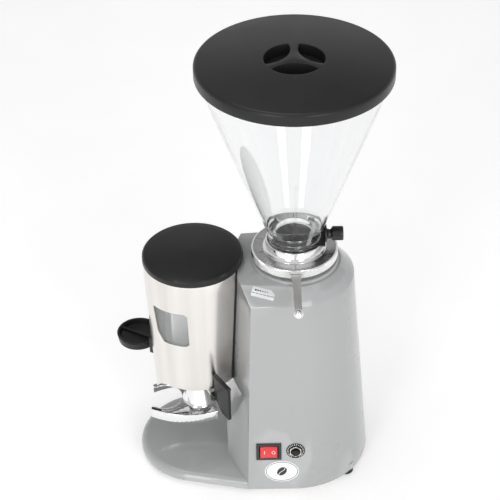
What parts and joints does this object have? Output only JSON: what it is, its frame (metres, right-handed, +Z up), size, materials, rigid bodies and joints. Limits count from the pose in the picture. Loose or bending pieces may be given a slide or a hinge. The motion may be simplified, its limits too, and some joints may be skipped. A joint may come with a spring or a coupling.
{
  "type": "doser coffee grinder",
  "caption": "Burr coffee grinder with a clear conical hopper and lid, a graduated adjusting dial with lever, a lever-worked doser, a portafilter fork and a tamper on a painted cast body.",
  "frame": {"origin": "where the burr and motor axis meets the surface that the feet stand on", "axes": "+Z up along the burr axis; -Y to the front, where the doser is; +X to the user's right, the side with the power switch"},
  "size_m": [0.2353, 0.3438, 0.59],
  "materials": {
    "body_paint": "smooth gloss grey paint",
    "rubber": "matte",
    "sheet_steel": "fine brushed, close to polished",
    "motor_steel": "machined",
    "copper": "varnished winding",
    "black_plastic": "satin moulded",
    "bezel_plastic": "satin moulded",
    "red_plastic": "gloss moulded",
    "white_label": "printed film",
    "silver_label": "printed film",
    "clear_plastic": "clear moulded plastic",
    "white_plastic": "moulded",
    "chrome": "polished",
    "machined_steel": "machined",
    "machined_aluminium": "satin"
  },
  "bodies": {
    "stand": {"housing": "body_paint", "foot_rear_right": "rubber", "foot_rear_left": "rubber", "foot_front_right": "rubber", "foot_front_left": "rubber", "bottom_cover": "sheet_steel", "motor_stator": "motor_steel", "motor_windings": "copper", "motor_bracket_lower": "sheet_steel", "motor_bracket_upper": "sheet_steel", "motor_tie_rods": "motor_steel", "motor_bearing_lower": "motor_steel", "motor_bearing_upper": "motor_steel", "start_capacitor": "black_plastic", "doser_shell": "sheet_steel", "doser_window": "clear_plastic", "doser_back_plate": "sheet_steel", "doser_gasket": "rubber", "doser_floor": "machined_aluminium", "doser_screws": "machined_steel", "fork": "chrome", "fork_bracket": "chrome", "return_spring": "machined_steel", "fork_screws": "machined_steel", "tamper": "black_plastic", "tamper_arm": "black_plastic", "switch_bezel": "bezel_plastic", "breaker_body": "black_plastic", "breaker_label": "black_plastic", "breaker_nut": "sheet_steel", "oval_label": "white_label", "rating_label": "silver_label", "cord_inlet_gland": "rubber"},
    "rotor": {"motor_shaft": "motor_steel", "rotor_core": "motor_steel", "cooling_fan": "black_plastic", "lower_burr_carrier": "machined_aluminium", "lower_burr": "machined_steel", "lower_burr_screws": "machined_steel", "feed_nut": "machined_steel"},
    "upper_burr_set": {"upper_burr_carrier": "machined_aluminium", "upper_burr": "machined_steel", "upper_burr_screws": "machined_steel"},
    "dial": {"adjust_dial": "machined_aluminium", "hopper_collar": "chrome", "adjust_lever": "machined_steel", "lever_ball": "chrome"},
    "bean_hopper": {"hopper": "clear_plastic"},
    "bean_gate": {"gate_plate": "black_plastic", "gate_knob": "black_plastic"},
    "bean_lid": {"hopper_lid": "black_plastic"},
    "dose_lid": {"doser_lid": "black_plastic"},
    "star": {"star_wheel": "white_plastic", "ratchet_wheel": "machined_steel"},
    "dose_lever": {"doser_lever_arm": "machined_steel", "doser_lever_paddle": "black_plastic"},
    "dose_adjuster": {"dose_knob": "black_plastic"},
    "rocker": {"switch_rocker": "red_plastic"},
    "reset": {"reset_button": "black_plastic"}
  },
  "joints": [
    {"name": "motor_spin", "type": "hinge", "parent": "stand", "child": "rotor", "pos_m": [0, 0, 0.15], "axis": [0, 0, 1], "continuous": true},
    {"name": "burr_rise", "type": "slide", "parent": "stand", "child": "upper_burr_set", "axis": [0, 0, 1], "range_m": [-0.0003, 0.0011]},
    {"name": "grind_adjust", "type": "hinge", "parent": "upper_burr_set", "child": "dial", "pos_m": [0, 0, 0.325], "axis": [0, 0, 1], "range_deg": [-50, 230]},
    {"name": "hopper_lift", "type": "slide", "parent": "dial", "child": "bean_hopper", "axis": [0, 0, 1], "range_m": [0, 0.12]},
    {"name": "gate_slide", "type": "slide", "parent": "bean_hopper", "child": "bean_gate", "axis": [0, 1, 0], "range_m": [0, 0.046]},
    {"name": "hopper_lid_lift", "type": "slide", "parent": "bean_hopper", "child": "bean_lid", "axis": [0, 0, 1], "range_m": [0, 0.12]},
    {"name": "doser_lid_lift", "type": "slide", "parent": "stand", "child": "dose_lid", "axis": [0, 0, 1], "range_m": [0, 0.09]},
    {"name": "lever_pull", "type": "hinge", "parent": "stand", "child": "dose_lever", "pos_m": [0, -0.12442, 0.13], "axis": [0, 0, 1], "range_deg": [-60, 0], "stiffness_Nm_per_rad": 0.3, "springref_deg": 5.73},
    {"name": "star_turn", "type": "hinge", "parent": "stand", "child": "star", "pos_m": [0, -0.12442, 0.19], "axis": [0, 0, 1], "range_deg": [-61, 1]},
    {"name": "dose_adjust", "type": "hinge", "parent": "dose_lever", "child": "dose_adjuster", "pos_m": [0, -0.12442, 0.25], "axis": [0, 0, 1], "range_deg": [0, 360]},
    {"name": "power_rocker", "type": "hinge", "parent": "stand", "child": "rocker", "pos_m": [0.091, -0.0349, 0.0712], "axis": [0.0789, 0, -0.9969], "range_deg": [0, 24]},
    {"name": "reset_press", "type": "slide", "parent": "stand", "child": "reset", "axis": [0.9969, 0, 0.0789], "range_m": [-0.003, 0], "stiffness_N_per_m": 150, "springref_m": 0.001}
  ],
  "couplings": [
    {"joint": "burr_rise", "follows": "grind_adjust", "m_per_rad": 0.00023873},
    {"joint": "star_turn", "follows": "lever_pull", "ratio": 1}
  ]
}
